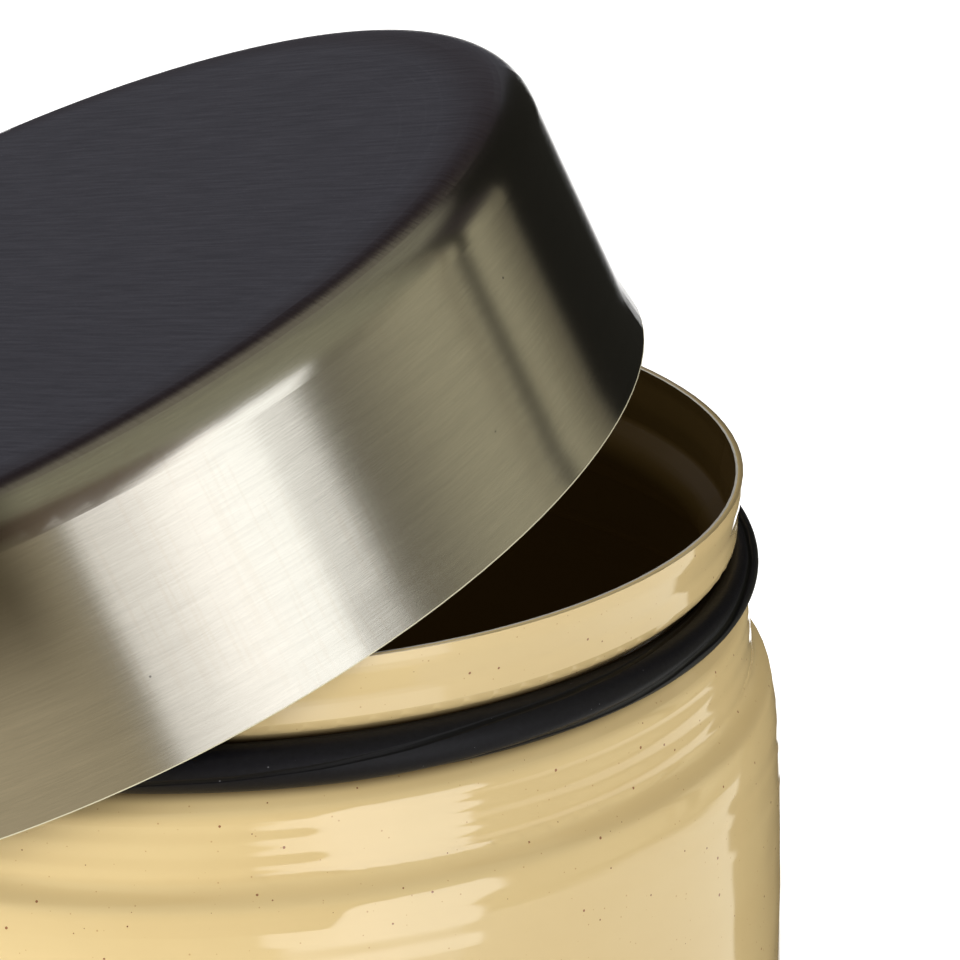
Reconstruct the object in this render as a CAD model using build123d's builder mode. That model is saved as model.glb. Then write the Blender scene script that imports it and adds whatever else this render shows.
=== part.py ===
"""An empty round storage jar in painted sheet steel, with a rubber neck seal and a brushed steel cap lid.

The jar stands on the XY plane with its axis on Z. The lid is a loose cap. It leans on the open mouth, tipped
towards -X, with its left side hanging outside the shoulder and its lower edge resting on the rim at two points.
Millimetres.
"""

import os
from math import cos, radians, sin, sqrt

from build123d import *

# Jar
body_radius = 40.0
jar_height = 95.0
sheet = 0.5
mouth_radius = 36.3
foot_radius = 2.5
foot_inner_radius = 34.5

# Neck, measured down from the rim
rim_radius = mouth_radius + sheet
waist_radius = rim_radius - 0.3
waist_drop = 2.6
neck_foot_radius = 37.7
neck_foot_drop = 13.5
neck_foot_bend = 1.2
ledge_radius = 38.75
ledge_drop = 14.1
ledge_bend = 1.3
shoulder_radius = 39.4
shoulder_drop = 16.6
shoulder_bend = 6.0
swell_radius = 39.75
swell_top_drop = 20.0
swell_drop = 31.0

# Seal: a round cord ring that lies in a groove of the neck
cord_radius = 1.5
seal_radius = 36.55
seal_drop = 6.4
groove_radius = cord_radius + 0.05
groove_lip_radius = 37.3

# Base: a pressed disc lying on the turned-in foot
seat_gap = 0.05
base_rim_height = 4.5
panel_radius = 33.0
panel_rise = 1.5

# Lid
lid_height = 19.5
lid_top_radius = 38.8
lid_skirt_radius = 39.05
lid_edge_radius = 39.5
lid_edge_flare = 2.6
lid_corner = 3.2

# How the lid leans: the centre of its lower edge, from the middle of the rim, and its angle
lid_lean = 23.1
lid_shift = -6.42
lid_drop = 5.70

os.makedirs("parts", exist_ok=True)


def jar_wall_path():
    """The outside of the jar's wall as radius and height, from the rim down to the turned-in foot."""
    seal_height = jar_height - seal_drop
    groove_root = seal_radius - groove_radius * sqrt(2)
    lip_above = seal_height + waist_radius - groove_root
    lip_below = seal_height - (groove_lip_radius - groove_root)
    points = [
        (rim_radius, jar_height),
        (rim_radius, jar_height - waist_drop / 3),
        (waist_radius, jar_height - waist_drop),
        (waist_radius, lip_above),
        (groove_root, seal_height),
        (groove_lip_radius, lip_below),
        (neck_foot_radius, jar_height - neck_foot_drop),
        (ledge_radius, jar_height - ledge_drop),
        (shoulder_radius, jar_height - shoulder_drop),
        (swell_radius, jar_height - swell_top_drop),
        (body_radius, jar_height - swell_drop),
        (body_radius, 0),
        (foot_inner_radius, 0),
    ]
    neck_bends = [3, 3, 1, groove_radius, 1.2, neck_foot_bend]
    shoulder_bends = [ledge_bend, shoulder_bend, 30, 100]
    bends = [*neck_bends, *shoulder_bends, foot_radius]
    return points, bends


# Jar body: one drawn sheet, open at the mouth, with the foot turned in under the base
wall_points, wall_bends = jar_wall_path()
with BuildPart() as jar_body:
    with BuildSketch(Plane.XZ):
        with BuildLine():
            FilletPolyline(*wall_points, radius=wall_bends)
            offset(amount=sheet, side=Side.RIGHT)
        make_face()
    revolve(axis=Axis.Z)

# Base disc: a shallow pan inside the foot, its middle panel pressed upwards
base_bottom = sheet + seat_gap
base_radius = body_radius - sheet - seat_gap
with BuildPart() as base_disc:
    with BuildSketch(Plane.XZ):
        with BuildLine():
            FilletPolyline(
                (base_radius, base_rim_height),
                (base_radius, base_bottom),
                (panel_radius + panel_rise, base_bottom),
                (panel_radius, base_bottom + panel_rise),
                (0, base_bottom + panel_rise),
                radius=[foot_radius - base_bottom, 1, 1],
            )
            offset(amount=sheet, side=Side.RIGHT)
        make_face()
    revolve(axis=Axis.Z)

# Seal ring: a round rubber cord in the groove
with BuildPart() as seal_ring:
    with BuildSketch(Plane.XZ):
        with Locations((seal_radius, jar_height - seal_drop)):
            Circle(cord_radius)
    revolve(axis=Axis.Z)

# Lid: one drawn cap, turned about its own leaning axis
lean_cos = cos(radians(lid_lean))
lean_sin = sin(radians(lid_lean))
lid_centre = (lid_shift, 0, jar_height - lid_drop)
lid_section = Plane(origin=lid_centre, x_dir=(lean_cos, 0, lean_sin), z_dir=(0, -1, 0))
lid_axis = Axis(origin=lid_centre, direction=(-lean_sin, 0, lean_cos))
with BuildPart() as lid:
    with BuildSketch(lid_section):
        with BuildLine():
            FilletPolyline(
                (lid_edge_radius, 0),
                (lid_skirt_radius, lid_edge_flare),
                (lid_top_radius, lid_height),
                (0, lid_height),
                radius=[8, lid_corner],
            )
            offset(amount=sheet, side=Side.LEFT)
        make_face()
    revolve(axis=lid_axis)

jar_body.part.label = "jar_body"
export_step(jar_body.part, "parts/jar_body.step")

base_disc.part.label = "base_disc"
export_step(base_disc.part, "parts/base_disc.step")

seal_ring.part.label = "seal_ring"
export_step(seal_ring.part, "parts/seal_ring.step")

lid.part.label = "lid"
export_step(lid.part, "parts/lid.step")
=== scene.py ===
import bpy
import math
from mathutils import Euler, Matrix, Vector


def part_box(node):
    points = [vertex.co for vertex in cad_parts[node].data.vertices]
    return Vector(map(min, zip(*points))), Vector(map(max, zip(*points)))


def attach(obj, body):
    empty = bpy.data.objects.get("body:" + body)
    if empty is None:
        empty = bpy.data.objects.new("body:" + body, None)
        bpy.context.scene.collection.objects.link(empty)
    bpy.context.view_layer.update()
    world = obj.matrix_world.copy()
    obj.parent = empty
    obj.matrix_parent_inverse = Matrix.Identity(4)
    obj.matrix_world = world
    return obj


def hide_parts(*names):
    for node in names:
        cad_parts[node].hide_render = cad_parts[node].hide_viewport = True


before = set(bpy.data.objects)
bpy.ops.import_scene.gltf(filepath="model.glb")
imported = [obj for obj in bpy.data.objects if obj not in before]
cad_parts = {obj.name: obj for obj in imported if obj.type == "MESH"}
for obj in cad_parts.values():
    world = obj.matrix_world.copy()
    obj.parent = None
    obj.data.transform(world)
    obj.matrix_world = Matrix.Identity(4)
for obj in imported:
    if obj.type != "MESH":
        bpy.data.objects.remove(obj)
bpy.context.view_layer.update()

# ---------------------------------------------------------------- sizes
MM = 0.001

# Metres, taken from the frame
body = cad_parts["jar_body"].data
body_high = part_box("jar_body")[1]
seal_low, seal_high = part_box("seal_ring")
lid_low, lid_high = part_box("lid")
RIM_HEIGHT = body_high.z
RIM_CENTRE = Vector((0, 0, RIM_HEIGHT))
rim_points = [corner.co for corner in body.vertices if corner.co.z > RIM_HEIGHT - 0.01 * MM]
MOUTH_RADIUS = min(point.xy.length for point in rim_points)
CORD_RADIUS = (seal_high.z - seal_low.z) / 2
CORD_HEIGHT = (seal_high.z + seal_low.z) / 2
CORD_RING_RADIUS = seal_high.x - CORD_RADIUS

# The lid's largest facet lies on its flat top, so it shows how far the lid leans.
# The lid's box then gives the size and the place of its open edge.
flat_top = max(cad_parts["lid"].data.polygons, key=lambda facet: facet.area).normal
LID_LEAN = math.atan2(abs(flat_top.x), abs(flat_top.z))
LID_AXIS = Vector((-math.sin(LID_LEAN), 0, math.cos(LID_LEAN)))
LID_EDGE_RADIUS = lid_high.y
LID_CENTRE = Vector((
    lid_high.x - LID_EDGE_RADIUS * math.cos(LID_LEAN),
    0,
    lid_low.z + LID_EDGE_RADIUS * math.sin(LID_LEAN),
))
TO_LID_FRAME = (0.0, -LID_LEAN, 0.0)

# Millimetres, for the materials
RIM = RIM_HEIGHT / MM
MOUTH = MOUTH_RADIUS / MM

# Belts of the jar's wall: how far their lower and upper borders lie below the rim
# The two seal belts bound the painted shade on the neck beside the seal
BELOW_SEAL = (8.7, 7.9)
ABOVE_SEAL = (5.3, 4.2)
NECK = (13.4, 9.6)
SHOULDER = (18.5, 15.0)
LEDGE = (15.3, 12.7)
LEDGE_TOP = (14.0, 12.8)
LEDGE_FOOT = (15.4, 14.0)
UNDER_LEDGE = (20.5, 16.2)

# Slopes of the wall's outside at the ledge: 0 is upright, and a positive slope faces up.
# The turn takes the ledge's slope back to the shoulder's.
LEDGE_SLOPE = math.radians(57)
NECK_SLOPE = math.radians(4.2)
LEDGE_TURN = math.radians(-42.4)

# Fine turned rings on the neck and the shoulder. The start is a drop from the rim
RING_PITCH = 1.6
RING_START = 10.5
RING_WANDER = 1.2
NECK_RING_DEPTH = 0.017
SHOULDER_RING_DEPTH = 0.008

# Radii of the fine rings on the lid's top, shown as painted highlight lines
LID_RINGS = (33.4, 32.3, 30.5)

# The seal's twist, in turns round the jar and in radians round the cord
CORD_TWISTS = 2
FIRST_TWIST = math.radians(80)
CREASE_WANDER = 0.5
SECOND_CREASE = 1.7

# The cord's shape, as shares of its radius. The crease's width is in radians
LOBE_DEPTH = 0.07
CREASE_DEPTH = 0.13
CREASE_WIDTH = 0.2


# ---------------------------------------------------------------- a short way to write node graphs
class Graph:
    """Builds shader nodes. Inputs may be numbers, tuples or the outputs of other nodes."""

    def __init__(self, tree):
        self.tree = tree
        self.tree.nodes.clear()

    def node(self, kind, inputs, **settings):
        made = self.tree.nodes.new(kind)
        for name, value in settings.items():
            setattr(made, name, value)
        for key, value in inputs.items():
            self.put(made.inputs[key], value)
        return made

    def put(self, socket, value):
        if isinstance(value, bpy.types.NodeSocket):
            self.tree.links.new(value, socket)
        else:
            socket.default_value = value

    def math(self, operation, *values):
        inputs = dict(enumerate(values))
        return self.node("ShaderNodeMath", inputs, operation=operation).outputs[0]

    def times(self, first, *others):
        for other in others:
            first = self.math("MULTIPLY", first, other)
        return first

    def vector(self, operation, *values):
        inputs = dict(enumerate(values))
        made = self.node("ShaderNodeVectorMath", inputs, operation=operation)
        scalar = operation in ("DOT_PRODUCT", "LENGTH", "DISTANCE")
        return made.outputs["Value" if scalar else "Vector"]

    def stretch(self, vector, x, y, z):
        return self.vector("MULTIPLY", vector, (x, y, z))

    def scale(self, vector, factor):
        made = self.node("ShaderNodeVectorMath", {0: vector, "Scale": factor}, operation="SCALE")
        return made.outputs["Vector"]

    def split(self, vector):
        return self.node("ShaderNodeSeparateXYZ", {0: vector}).outputs

    def join(self, x, y, z):
        return self.node("ShaderNodeCombineXYZ", {0: x, 1: y, 2: z}).outputs[0]

    def ramp(self, value, low, high, bottom=0.0, top=1.0):
        """Goes smoothly from bottom to top as value goes from low to high."""
        inputs = {"Value": value, 1: low, 2: high, 3: bottom, 4: top}
        made = self.node("ShaderNodeMapRange", inputs, interpolation_type="SMOOTHSTEP")
        return made.outputs[0]

    def band(self, value, low, high, soft):
        """One between low and high, with edges soft wide."""
        rise = self.ramp(value, low - soft / 2, low + soft / 2)
        fall = self.ramp(value, high - soft / 2, high + soft / 2, 1.0, 0.0)
        return self.times(rise, fall)

    def belt_ramp(self, height, belt, bottom=0.0, top=1.0):
        """Goes from bottom to top between a belt's lower and upper border."""
        lower, upper = belt
        return self.ramp(height, RIM - lower, RIM - upper, bottom, top)

    def belt(self, height, belt, soft):
        """One inside a belt, with edges soft wide."""
        lower, upper = belt
        return self.band(height, RIM - lower, RIM - upper, soft)

    def mix(self, factor, first, second):
        inputs = {0: factor, 6: first, 7: second}
        return self.node("ShaderNodeMix", inputs, data_type="RGBA").outputs[2]

    def blend(self, factor, first, second):
        return self.node("ShaderNodeMixShader", {0: factor, 1: first, 2: second}).outputs[0]

    def noise(self, vector, scale, detail=2.0, roughness=0.5):
        """Smooth noise about 0.5. A place in millimetres makes the scale one per millimetre."""
        inputs = {"Vector": vector, "Scale": scale, "Detail": detail, "Roughness": roughness}
        return self.node("ShaderNodeTexNoise", inputs).outputs[0]

    def cells(self, vector, scale):
        """Distance from the nearest cell centre, and a random colour for each cell."""
        made = self.node("ShaderNodeTexVoronoi", {"Vector": vector, "Scale": scale})
        return made.outputs["Distance"], made.outputs["Color"]

    def bump(self, height, strength, distance, normal=None):
        inputs = {"Height": height, "Strength": strength, "Distance": distance}
        if normal is not None:
            inputs["Normal"] = normal
        return self.node("ShaderNodeBump", inputs).outputs[0]

    def geometry(self, output):
        return self.node("ShaderNodeNewGeometry", {}).outputs[output]

    def principled(self, **inputs):
        named = {key.replace("_", " "): value for key, value in inputs.items()}
        return self.node("ShaderNodeBsdfPrincipled", named).outputs[0]

    def surface(self, shader, kind="ShaderNodeOutputMaterial"):
        self.node(kind, {"Surface": shader})


def material(name):
    made = bpy.data.materials.new(name)
    made.use_nodes = True
    return made, Graph(made.node_tree)


def millimetres(g):
    """A point's place in the frame in millimetres. It stays with the piece when the piece moves."""
    place = g.node("ShaderNodeTexCoord", {}).outputs["Object"]
    return g.scale(place, 1 / MM)


def level(g, place):
    """The place with its height taken away: the way from the axis to the point."""
    return g.stretch(place, 1, 1, 0)


def facing(g, place):
    """How much the surface faces away from the jar's axis: 1 outward, -1 inward. And how much it faces up."""
    normal = g.geometry("True Normal")
    outward = g.vector("DOT_PRODUCT", g.vector("NORMALIZE", level(g, place)), normal)
    return outward, g.split(normal)["Z"]


def specks(g, place, scale, size, share):
    """Small round dots: a share of the cells holds one each, with a radius of up to size cells."""
    distance, colour = g.cells(place, scale)
    chosen = g.math("LESS_THAN", g.split(colour)["X"], share)
    radius = g.times(g.split(colour)["Y"], size)
    return g.times(g.math("LESS_THAN", distance, radius), chosen)


# ---------------------------------------------------------------- the jar's paint
# The deepest and the lightest cream
CREAM = ((0.725, 0.55, 0.271, 1), (0.763, 0.598, 0.31, 1))

# Scale, size and share of the specks in it, and their colour
CREAM_SPECKS = (
    (1.1, 0.12, 0.45, (0.30, 0.13, 0.06, 1)),
    (0.4, 0.05, 0.4, (0.15, 0.02, 0.01, 1)),
    (2.6, 0.16, 0.3, (0.58, 0.37, 0.17, 1)),
)

# Stands for light that bounces about inside the jar
INSIDE_GLOW = (0.0050, 0.0027, 0.0006, 1)


def cream_colour(g, place, shade):
    """Cream with a faint mottle and specks of three browns, with painted shade beside the seal."""
    mottle = g.noise(g.stretch(place, 0.1, 0.1, 0.25), 1.0, 3.0)
    cream = g.mix(mottle, *CREAM)
    for scale, size, share, brown in CREAM_SPECKS:
        cream = g.mix(specks(g, place, scale, size, share), cream, brown)
    return g.mix(g.times(shade, 0.93), cream, (0.07, 0.035, 0.012, 1))


def ledge_normal(g, outward, height):
    """The wall's smooth normal at the ledge, where the frame's facets are too coarse for reflections."""
    above = g.belt_ramp(height, LEDGE_TOP, LEDGE_SLOPE, NECK_SLOPE)
    below = g.belt_ramp(height, LEDGE_FOOT, LEDGE_TURN, 0.0)
    slope = g.math("ADD", above, below)
    along = g.scale(outward, g.math("COSINE", slope))
    return g.vector("ADD", along, g.join(0.0, 0.0, g.math("SINE", slope)))


def ring_bump(g, place, height, on_neck, normal):
    """Fine turned rings, whose pitch drifts a little round the jar."""
    drift = g.noise(g.stretch(place, 0.035, 0.035, 0.05), 1.0, 1.0)
    wander = g.times(g.math("SUBTRACT", drift, 0.5), RING_WANDER)
    phase = g.math("ADD", g.math("SUBTRACT", height, RIM - RING_START), wander)
    ring = g.math("SINE", g.times(phase, 2 * math.pi / RING_PITCH))
    on_shoulder = g.belt(height, SHOULDER, 0.8)
    neck_depth = g.times(on_neck, -NECK_RING_DEPTH * MM)
    shoulder_depth = g.times(on_shoulder, -SHOULDER_RING_DEPTH * MM)
    return g.bump(ring, 1.0, g.math("ADD", neck_depth, shoulder_depth), normal)


def wall_normal(g, place, outward, height):
    """The painted wall's normal: the ledge's own, rings, peel, and a lean above and under the ledge."""
    on_neck = g.belt(height, NECK, 0.5)
    on_ledge = g.belt(height, LEDGE, 0.3)
    normal = g.mix(on_ledge, g.geometry("Normal"), ledge_normal(g, outward, height))
    normal = ring_bump(g, place, height, on_neck, normal)
    normal = g.bump(g.noise(place, 0.16, 1.0), 1.0, 0.08 * MM, normal)
    under_ledge = g.belt(height, UNDER_LEDGE, 0.8)
    lean = g.math("SUBTRACT", g.times(on_neck, 0.06), g.times(under_ledge, 0.05))
    return g.vector("NORMALIZE", g.vector("ADD", normal, g.join(0.0, 0.0, lean)))


def rounded_rim_normal(g, outward, from_axis):
    """The rim's top face, made to look rounded towards its outer edge."""
    across = g.ramp(from_axis, MOUTH, MOUTH + 0.5, -0.3, 2.6)
    return g.vector("NORMALIZE", g.vector("ADD", g.scale(outward, across), (0, 0, 1)))


def inner_wall(g, place):
    """The jar's inside: a dark yellowish brown that is painted shade for the dim inside, with a faint painted
    glow.
    """
    tone = g.noise(g.stretch(place, 0.05, 0.05, 0.2), 1.0, 3.0)
    colour = g.mix(tone, (0.07, 0.045, 0.012, 1), (0.13, 0.085, 0.03, 1))
    return g.principled(
        Base_Color=colour, Roughness=0.32, IOR=1.5,
        Emission_Color=INSIDE_GLOW, Emission_Strength=1.0,
    )


def cut_edge(g, place):
    """The bare steel of the cut sheet."""
    streak = g.noise(g.stretch(place, 0.5, 0.5, 0.5), 1.0, 4.0)
    colour = g.mix(streak, (0.66, 0.64, 0.58, 1), (0.92, 0.90, 0.84, 1))
    return g.principled(Base_Color=colour, Metallic=0.1, Roughness=0.45)


def on_cut_edge(g, place, from_axis, height, upward):
    """One on the inner part of the rim's top, with a slightly ragged border."""
    ragged = g.math("ADD", from_axis, g.times(g.noise(place, 0.8, 3.0), 0.1))
    near_mouth = g.ramp(ragged, MOUTH + 0.16, MOUTH + 0.22, 1.0, 0.0)
    at_rim = g.math("GREATER_THAN", height, RIM - 0.25)
    return g.times(at_rim, g.math("GREATER_THAN", upward, 0.5), near_mouth)


def cream_paint():
    """Glossy cream outside, dark brown painted shade inside, bare steel at the rim's cut edge."""
    made, g = material("cream_paint")
    place = millimetres(g)
    height = g.split(place)["Z"]
    facing_out, facing_up = facing(g, place)
    flat = level(g, place)
    from_axis = g.vector("LENGTH", flat)
    outward = g.vector("NORMALIZE", flat)

    # Painted shade beside the seal: the cream turns dark brown where the neck lies in shade, and the gloss is
    # lowered there
    below_seal = g.belt_ramp(height, BELOW_SEAL)
    above_seal = g.belt_ramp(height, ABOVE_SEAL, 1.0, 0.0)
    shade = g.times(below_seal, above_seal)
    shine = g.math("SUBTRACT", 0.5, g.times(shade, 0.45))
    on_rim = g.math("GREATER_THAN", facing_up, 0.9)
    rim_normal = rounded_rim_normal(g, outward, from_axis)
    normal = g.mix(on_rim, wall_normal(g, place, outward, height), rim_normal)
    paint = g.principled(
        Base_Color=cream_colour(g, place, shade), Roughness=0.06, IOR=1.7,
        Specular_IOR_Level=shine, Normal=normal,
    )

    inside = g.math("LESS_THAN", facing_out, -0.05)
    shader = g.blend(inside, paint, inner_wall(g, place))
    on_edge = on_cut_edge(g, place, from_axis, height, facing_up)
    g.surface(g.blend(on_edge, shader, cut_edge(g, place)))
    return made


def base_steel():
    """Painted shade inside the jar: dark brown, with the same faint painted glow as its wall. Cream paint on
    the underside.
    """
    made, g = material("base_steel")
    place = millimetres(g)
    tone = g.noise(place, 0.15, 4.0)
    # Painted shade: the inside's near-black brown stands in for the dim inside of the jar
    inside = g.mix(tone, (0.015, 0.010, 0.006, 1), (0.045, 0.032, 0.022, 1))
    cream = g.mix(tone, (0.70, 0.53, 0.26, 1), CREAM[1])
    facing_up = facing(g, place)[1]
    underside = g.math("LESS_THAN", facing_up, -0.02)
    roughness = g.math("SUBTRACT", 0.38, g.times(underside, 0.28))
    g.surface(g.principled(
        Base_Color=g.mix(underside, inside, cream), Roughness=roughness,
        Normal=g.bump(g.noise(place, 1.2, 2.0), 0.2, 0.1 * MM),
        Emission_Color=INSIDE_GLOW, Emission_Strength=g.math("SUBTRACT", 1.0, underside),
    ))
    return made


# ---------------------------------------------------------------- the lid's brushed steel
def lid_frame_place(g):
    """A point's place in the lid's own frame, in millimetres: Z runs along its axis from the open edge."""
    inputs = {"Vector": millimetres(g), "Location": tuple(LID_CENTRE / MM), "Rotation": TO_LID_FRAME}
    return g.node("ShaderNodeMapping", inputs, vector_type="TEXTURE").outputs[0]


def skirt_normal(g, outward, along):
    """The skirt's normal. Next to the open edge it points straight out, as if there were no flare."""
    turn = {"Vector": outward, "Rotation": TO_LID_FRAME}
    radial = g.node("ShaderNodeMapping", turn, vector_type="VECTOR").outputs[0]
    side = g.math("SIGN", g.vector("DOT_PRODUCT", radial, g.geometry("True Normal")))
    near_edge = g.ramp(along, 2.6, 4.2, 1.0, 0.0)
    return g.mix(near_edge, g.geometry("Normal"), g.scale(radial, side))


def skirt_colour(g, place, outward, along, fine):
    """Steel brushed round the skirt, with faint wipe marks, specks and a painted dark reflection on the left.
    """
    broad = g.noise(g.stretch(place, 0.1, 0.1, 1.4), 1.0, 2.0)
    tone = g.math("ADD", g.times(fine, 0.5), g.times(broad, 0.25))
    colour = g.mix(tone, (0.345, 0.331, 0.297, 1), (0.538, 0.518, 0.469, 1))
    marks = g.ramp(g.noise(g.stretch(place, 3.2, 3.2, 0.10), 1.0, 2.0), 0.48, 0.66)
    wiped = g.ramp(g.noise(place, 0.07, 1.0), 0.5, 0.62)
    colour = g.mix(g.times(marks, wiped, 0.13), colour, (0.36, 0.31, 0.25, 1))
    colour = g.mix(specks(g, place, 0.45, 0.06, 0.6), colour, (0.16, 0.15, 0.14, 1))
    # Painted reflection: a dark patch on the left of the skirt stands in for dark surroundings reflected
    # there
    leftness = g.vector("DOT_PRODUCT", outward, (-0.7, -0.7, 0))
    patch = g.times(g.ramp(leftness, 0.66, 0.74), g.ramp(along, 5.0, 14.5, 0.0, 0.8))
    return g.mix(patch, colour, (0.06, 0.05, 0.035, 1))


def lid_skirt(g, place, outward, along):
    """The skirt, with a line of bare cut sheet along its open edge, tinted warm as a painted reflection of
    the cream jar.
    """
    fine = g.noise(g.stretch(place, 0.45, 0.45, 9.0), 1.0, 3.0, 0.6)
    metal = g.principled(
        Base_Color=skirt_colour(g, place, outward, along, fine),
        Metallic=1.0, Roughness=0.2, Anisotropic=0.95, Tangent=g.join(*LID_AXIS),
        Normal=g.bump(fine, 0.12, 0.03 * MM, skirt_normal(g, outward, along)),
    )
    # The cut line's warm tint is a painted reflection of the cream jar
    cut = g.principled(Base_Color=(0.66, 0.62, 0.45, 1), Roughness=0.3)
    on_cut = g.ramp(along, 0.04, 0.09, 1.0, 0.0)
    return g.blend(on_cut, metal, cut)


def brush_streaks(g, place):
    """Fine straight streaks across the lid's top."""
    along_brush = g.vector("DOT_PRODUCT", place, (0.59, -0.81, 0.0))
    across_brush = g.vector("DOT_PRODUCT", place, (0.81, 0.59, 0.0))
    streaks = g.join(g.times(along_brush, 0.16), g.times(across_brush, 3.2), 0.0)
    return g.ramp(g.noise(streaks, 1.0, 4.0, 0.7), 0.28, 0.72)


def lid_top(g, place, from_axis):
    """The top: straight brushing, faint rings shown as painted highlight lines, and a brown fringe at the
    corner.
    """
    fine = brush_streaks(g, place)
    broad = g.noise(g.stretch(place, 0.04, 0.12, 0.12), 1.0, 3.0)
    tone = g.math("ADD", g.times(fine, 0.7), g.times(broad, 0.4))
    colour = g.mix(tone, (0.29, 0.283, 0.297, 1), (0.54, 0.53, 0.55, 1))
    for ring in LID_RINGS:
        # Painted highlight: each ring is a faint lighter line in the steel's colour
        line = g.times(g.band(from_axis, ring - 0.06, ring + 0.06, 0.1), 0.10)
        colour = g.mix(line, colour, (0.8, 0.8, 0.8, 1))
    fringe = g.times(g.ramp(from_axis, 33.2, 35.8), 0.5)
    colour = g.mix(fringe, colour, (0.20, 0.14, 0.12, 1))
    return g.principled(
        Base_Color=colour, Metallic=1.0, Roughness=0.22, Anisotropic=0.4,
        Tangent=g.join(0.0, 1.0, 0.0), Normal=g.bump(fine, 0.25, 0.05 * MM),
    )


def brushed_lid():
    """Steel brushed round the skirt and straight across the top."""
    made, g = material("brushed_lid")
    place = lid_frame_place(g)
    along = g.split(place)["Z"]
    flat = level(g, place)
    outward = g.vector("NORMALIZE", flat)
    facing_axis = g.vector("DOT_PRODUCT", g.geometry("True Normal"), tuple(LID_AXIS))
    on_top = g.ramp(g.math("ABSOLUTE", facing_axis), 0.75, 0.97)
    skirt = lid_skirt(g, place, outward, along)
    g.surface(g.blend(on_top, skirt, lid_top(g, place, g.vector("LENGTH", flat))))
    return made


# ---------------------------------------------------------------- the seal: a cord with a slow twist
def black_rubber():
    """Dull black rubber. Two creases wind round the cord with its twist; painted shade darkens them, and a
    painted sheen lightens the cord on one side of the first.
    """
    made, g = material("black_rubber")
    place = millimetres(g)
    x, y, z = g.split(place)
    out = g.math("SUBTRACT", g.vector("LENGTH", level(g, place)), CORD_RING_RADIUS / MM)
    round_cord = g.math("ARCTAN2", g.math("SUBTRACT", z, CORD_HEIGHT / MM), out)
    twist = g.times(g.math("ARCTAN2", y, x), CORD_TWISTS)
    wander = g.times(g.noise(place, 0.12, 1.0), CREASE_WANDER)
    offset = g.math("SUBTRACT", wander, FIRST_TWIST + CREASE_WANDER / 2)
    wind = g.math("ADD", g.math("SUBTRACT", round_cord, twist), offset)
    first = g.ramp(g.math("COSINE", wind), 0.975, 1.0)
    second_wind = g.math("SUBTRACT", wind, SECOND_CREASE)
    second = g.ramp(g.math("COSINE", second_wind), 0.985, 1.0, 0.0, 0.6)
    creases = g.math("ADD", first, second)
    sheen = g.ramp(g.math("SINE", wind), -1.0, -0.1, 0.9, 0.0)

    grain = g.noise(place, 3.0, 4.0, 0.65)
    colour = g.mix(grain, (0.003, 0.003, 0.004, 1), (0.010, 0.010, 0.013, 1))
    # Painted sheen on one side of the first crease, and painted shade in the creases
    colour = g.mix(sheen, colour, (0.020, 0.019, 0.012, 1))
    colour = g.mix(creases, colour, (0.001, 0.001, 0.001, 1))
    colour = g.mix(specks(g, place, 1.8, 0.09, 0.25), colour, (0.10, 0.10, 0.11, 1))
    normal = g.bump(creases, 1.0, -0.12 * MM, g.bump(grain, 0.25, 0.06 * MM))
    g.surface(g.principled(
        Base_Color=colour, Roughness=0.42, IOR=1.4, Specular_IOR_Level=0.19, Normal=normal,
    ))
    return made


def cord_point(angle, turn):
    """A point of the cord's skin: angle goes round the jar, turn goes round the cord."""
    twist = CORD_TWISTS * angle + FIRST_TWIST
    sway = 0.02 * math.sin(5 * angle + 1.0) + 0.015 * math.sin(11 * angle)
    lobe = 1 - LOBE_DEPTH * (1 - math.cos(2 * (turn - twist)))
    from_crease = math.remainder(turn - twist, 2 * math.pi)
    crease = CREASE_DEPTH * math.exp(-(from_crease / CREASE_WIDTH) ** 2)
    size = CORD_RADIUS * (lobe - crease)
    out = CORD_RING_RADIUS + size * math.cos(turn)
    height = CORD_HEIGHT + CORD_RADIUS * sway + size * math.sin(turn)
    return out * math.cos(angle), out * math.sin(angle), height


def twisted_cord():
    """The seal ring as a closed cord with two lobes and one crease that wind round it."""
    steps_round_jar = 720
    steps_round_cord = 40
    vertices = []
    faces = []
    for i in range(steps_round_jar):
        here = i * steps_round_cord
        after = (i + 1) % steps_round_jar * steps_round_cord
        for j in range(steps_round_cord):
            beside = (j + 1) % steps_round_cord
            angle = 2 * math.pi * i / steps_round_jar
            turn = 2 * math.pi * j / steps_round_cord
            vertices.append(cord_point(angle, turn))
            faces.append((here + j, after + j, after + beside, here + beside))
    mesh = bpy.data.meshes.new("seal_cord")
    mesh.from_pydata(vertices, [], faces)
    mesh.update()
    for face in mesh.polygons:
        face.use_smooth = True
    cord = bpy.data.objects.new("seal_cord", mesh)
    bpy.context.scene.collection.objects.link(cord)
    return cord


seal = twisted_cord()
seal.data.materials.append(black_rubber())
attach(seal, "jar")
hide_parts("seal_ring")


def finish_node(name, made):
    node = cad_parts[name]
    node.data.materials.clear()
    node.data.materials.append(made)


finish_node("jar_body", cream_paint())
finish_node("base_disc", base_steel())
finish_node("lid", brushed_lid())


# ---------------------------------------------------------------- what the object reflects
REFLECTED_STRENGTH = 1.45
SEEN_STRENGTH = 1.1


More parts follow.
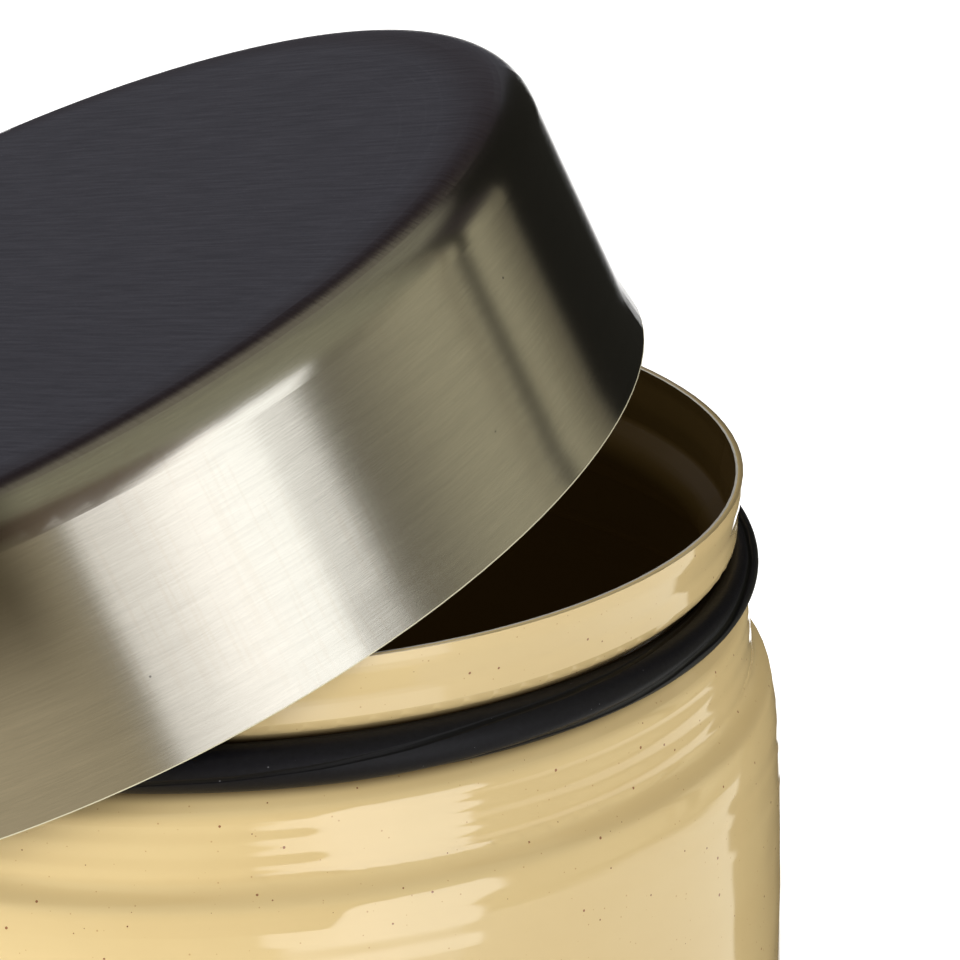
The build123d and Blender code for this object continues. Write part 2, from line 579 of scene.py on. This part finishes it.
class Surroundings(Graph):
    """A sky painted by direction, in degrees: azimuth from the front towards +X, and elevation."""

    def __init__(self, tree):
        super().__init__(tree)
        direction = self.node("ShaderNodeTexCoord", {}).outputs["Generated"]
        x, self.y, z = self.split(direction)
        self.azimuth = self.math("DEGREES", self.math("ARCTAN2", x, self.math("MULTIPLY", self.y, -1.0)))
        self.elevation = self.math("DEGREES", self.math("ARCSINE", z))

        # Borders that several panels share
        self.above_floor = self.ramp(self.elevation, -37.0, -33.0)
        self.deep = self.ramp(self.elevation, -25.0, -19.0, 1.0, 0.0)
        self.below_ceiling = self.ramp(self.elevation, 24.0, 27.0, 1.0, 0.0)

    def box(self, left, right, bottom, top, soft):
        """One inside a rectangle of directions, with edges soft wide."""
        return self.times(
            self.band(self.azimuth, left, right, soft), self.band(self.elevation, bottom, top, soft),
        )

    def right_of(self, border, low, high):
        """Goes from 0 to 1 while azimuth passes a border that bends with elevation."""
        return self.ramp(self.math("SUBTRACT", self.azimuth, border), low, high)

    def left_of(self, border, low, high):
        return self.ramp(self.math("SUBTRACT", self.azimuth, border), low, high, 1.0, 0.0)


def room(g):
    """Warm and dim in front, brighter near the floor, with a brown patch. Dark behind."""
    front = g.ramp(g.y, -0.15, 0.25, 1.0, 0.0)
    low_front = g.ramp(g.elevation, -26.0, -18.0, 1.0, 0.0)
    warm = g.mix(g.ramp(g.elevation, -5.0, 45.0), (0.30, 0.27, 0.19, 1), (0.29, 0.28, 0.20, 1))
    warm = g.mix(low_front, warm, (0.55, 0.47, 0.32, 1))
    back = g.mix(
        g.ramp(g.elevation, 23.0, 30.0), (0.060, 0.060, 0.070, 1), (0.030, 0.024, 0.027, 1),
    )
    back = g.mix(g.ramp(g.elevation, 48.0, 58.0), back, (0.24, 0.23, 0.175, 1))
    sky = g.mix(front, back, warm)
    return g.mix(g.box(-60, 40, -6, 32, 8), sky, (0.12, 0.085, 0.06, 1))


def wing(g, sky):
    """A light panel at the front whose top slopes up to the right, with a dark strip over it."""
    top = g.ramp(g.azimuth, 15.0, 28.0, -5.0, 22.0)
    over = g.math("SUBTRACT", g.elevation, top)
    strip = g.times(g.band(g.azimuth, 8, 40, 8), g.band(over, 0, 5, 2))
    sky = g.mix(strip, sky, (0.03, 0.02, 0.02, 1))
    left_side = g.ramp(g.elevation, -17.0, -11.0, 10.5, 6.5)
    inside = g.times(
        g.right_of(left_side, -2.0, 2.0),
        g.ramp(g.azimuth, 38, 42, 1.0, 0.0),
        g.ramp(over, -1.5, 1.5, 1.0, 0.0),
        g.above_floor,
    )
    colour = g.mix(g.ramp(g.azimuth, 8, 24), (1.40, 1.38, 1.34, 1), (1.90, 1.87, 1.84, 1))
    colour = g.mix(g.deep, colour, (0.80, 0.79, 0.76, 1))
    return g.mix(inside, sky, colour)


def window(g, sky):
    """A large light panel right of the wing. Returns the sky with it, and one past its right side."""
    right_side = g.ramp(g.elevation, -7.0, 0.5, 46.5, 53.0)
    right_side = g.math("ADD", right_side, g.times(g.band(g.elevation, -22.0, -9.0, 3.0), 3.0))
    left_of_side = g.left_of(right_side, -1.5, 1.5)
    across = g.times(g.ramp(g.azimuth, 31, 35), left_of_side)
    inside = g.times(across, g.times(g.below_ceiling, g.above_floor))
    colour = g.mix(g.deep, (1.76, 1.78, 1.77, 1), (0.76, 0.75, 0.73, 1))
    return g.mix(inside, sky, colour), g.math("SUBTRACT", 1.0, left_of_side)


def side_wall(g, sky, past_window, screen_side):
    """The wall from the window to the dark screen: light grey below, dim above, with two darker posts."""
    inside = g.times(past_window, g.left_of(screen_side, -1.0, 2.0), g.below_ceiling)
    low = g.mix(g.ramp(g.azimuth, 60, 120), (0.58, 0.55, 0.50, 1), (0.78, 0.78, 0.71, 1))
    high = g.mix(g.ramp(g.azimuth, 56, 85), (0.19, 0.175, 0.13, 1), (0.42, 0.39, 0.27, 1))
    high = g.mix(g.ramp(g.azimuth, 104, 121), high, (0.16, 0.145, 0.10, 1))
    high = g.mix(g.ramp(g.elevation, -12.0, -6.0), (0.13, 0.12, 0.085, 1), high)
    sky = g.mix(inside, sky, g.mix(g.ramp(g.elevation, -15.5, -12.5), low, high))

    post_height = g.ramp(g.elevation, -10.0, -7.0)
    thin = g.times(g.band(g.azimuth, 93.0, 95.0, 1.5), post_height)
    sky = g.mix(thin, sky, (0.24, 0.21, 0.14, 1))
    thick = g.times(g.band(g.azimuth, 98.5, 103.0, 2.0), post_height)
    return g.mix(thick, sky, (0.03, 0.028, 0.02, 1))


def screen_and_back(g, sky, screen_side):
    """A dark screen at the right, and a low white strip behind the object."""
    past_back = g.right_of(g.ramp(g.elevation, -18.0, -9.0, 158.5, 162.5), -1.5, 1.5)
    screen = g.times(
        g.right_of(screen_side, -0.5, 1.5),
        g.box(110, 170, -60, 50, 2),
        g.math("SUBTRACT", 1.0, past_back),
    )
    sky = g.mix(screen, sky, (0.015, 0.0145, 0.012, 1))
    behind = g.ramp(g.math("ABSOLUTE", g.azimuth), 160, 164)
    white = g.times(g.math("MAXIMUM", past_back, behind), g.band(g.elevation, -26, -6, 4))
    return g.mix(white, sky, (1.4, 1.4, 1.4, 1))


def studio_world():
    """White for the camera, an even soft light for shading, and the painted sky for reflections."""
    world = bpy.data.worlds.new("studio")
    bpy.context.scene.world = world
    world.use_nodes = True
    world.cycles.sampling_method = "NONE"
    g = Surroundings(world.node_tree)
    sky, past_window = window(g, wing(g, room(g)))
    screen_side = g.ramp(g.elevation, -37.0, -29.0, 125.0, 120.5)
    sky = side_wall(g, sky, past_window, screen_side)
    sky = screen_and_back(g, sky, screen_side)

    path = g.node("ShaderNodeLightPath", {}).outputs
    glossy = g.node("ShaderNodeBackground", {"Color": sky, "Strength": REFLECTED_STRENGTH}).outputs[0]
    soft = g.node("ShaderNodeBackground", {"Color": (0.32, 0.31, 0.285, 1)}).outputs[0]
    white = g.node("ShaderNodeBackground", {"Color": (1, 1, 1, 1), "Strength": SEEN_STRENGTH}).outputs[0]
    light = g.blend(path["Is Diffuse Ray"], glossy, soft)
    g.surface(g.blend(path["Is Camera Ray"], light, white), "ShaderNodeOutputWorld")


# ---------------------------------------------------------------- lamps and floor
def direction(azimuth, elevation):
    """The direction from the object at these angles: azimuth from the front towards +X."""
    reach = math.cos(elevation)
    return Vector((math.sin(azimuth) * reach, -math.cos(azimuth) * reach, math.sin(elevation)))


def soft_lamp(name, azimuth, elevation, distance, size, watts, colour):
    """A lamp that shades the object and isn't seen in its reflections. Degrees and metres."""
    data = bpy.data.lights.new(name, "AREA")
    data.size = size
    data.energy = watts
    data.color = colour
    lamp = bpy.data.objects.new(name, data)
    away = direction(math.radians(azimuth), math.radians(elevation))
    lamp.location = RIM_CENTRE + away * distance
    lamp.rotation_euler = away.to_track_quat("Z", "Y").to_euler()
    lamp.visible_glossy = False
    lamp.visible_camera = False
    bpy.context.scene.collection.objects.link(lamp)


def floor():
    """A pale floor that glows a little for the camera, less near the object, where the dimmer glow is a
    painted contact shadow. It isn't reflected.
    """
    half = 6.0
    mesh = bpy.data.meshes.new("floor")
    corners = [(-half, -half, 0), (half, -half, 0), (half, half, 0), (-half, half, 0)]
    mesh.from_pydata(corners, [], [(0, 1, 2, 3)])
    plane = bpy.data.objects.new("floor", mesh)
    bpy.context.scene.collection.objects.link(plane)
    made, g = material("pale_floor")
    path = g.node("ShaderNodeLightPath", {}).outputs
    tone = g.noise(millimetres(g), 0.01, 2.0)
    colour = g.mix(tone, (0.84, 0.84, 0.84, 1), (0.88, 0.88, 0.88, 1))
    matt = g.principled(Base_Color=colour, Roughness=0.9)
    # Painted contact shadow: the glow fades near the object, following ambient occlusion
    occlusion = g.node("ShaderNodeAmbientOcclusion", {"Distance": 60 * MM}, samples=8)
    glow_with_painted_shadow = g.ramp(occlusion.outputs["AO"], 0.25, 0.95, 0.35, 0.85)
    glow = g.node("ShaderNodeEmission", {"Strength": g.times(path["Is Camera Ray"], glow_with_painted_shadow)})
    g.surface(g.node("ShaderNodeAddShader", {0: matt, 1: glow.outputs[0]}).outputs[0])
    mesh.materials.append(made)
    plane.visible_glossy = False


studio_world()
soft_lamp("left_key", -50, 10, distance=0.40, size=0.30, watts=1.30, colour=(1.0, 0.985, 0.95))
soft_lamp("right_key", 62, 14, distance=0.40, size=0.30, watts=0.76, colour=(1.0, 0.98, 0.94))
soft_lamp("back_fill", -150, 35, distance=0.60, size=0.40, watts=1.6, colour=(1.0, 0.98, 0.95))
floor()


# ---------------------------------------------------------------- camera
CAMERA_DISTANCE = 282.7 * MM
CAMERA_AZIMUTH = math.radians(-4.15)
CAMERA_ELEVATION = math.radians(19.5)
CAMERA_PAN = math.radians(8.29)
CAMERA_PITCH = math.radians(-19.81)
CAMERA_ROLL = math.radians(-0.21)
CAMERA_LENS = 158.1
CAMERA_SENSOR = 36.0


def camera():
    """Stands at a distance from the middle of the rim, and is then turned by pan, pitch and roll."""
    data = bpy.data.cameras.new("camera")
    data.sensor_width = CAMERA_SENSOR
    data.lens = CAMERA_LENS
    data.clip_start = 0.01
    data.clip_end = 50.0
    made = bpy.data.objects.new("camera", data)
    place = RIM_CENTRE + direction(CAMERA_AZIMUTH, CAMERA_ELEVATION) * CAMERA_DISTANCE
    turn = Euler((math.radians(90) + CAMERA_PITCH, 0, -CAMERA_PAN)).to_matrix()
    turn = turn @ Matrix.Rotation(CAMERA_ROLL, 3, "Z")
    made.matrix_world = Matrix.Translation(place) @ turn.to_4x4()
    bpy.context.scene.collection.objects.link(made)
    bpy.context.scene.camera = made


camera()
bpy.context.scene.view_settings.view_transform = "Standard"
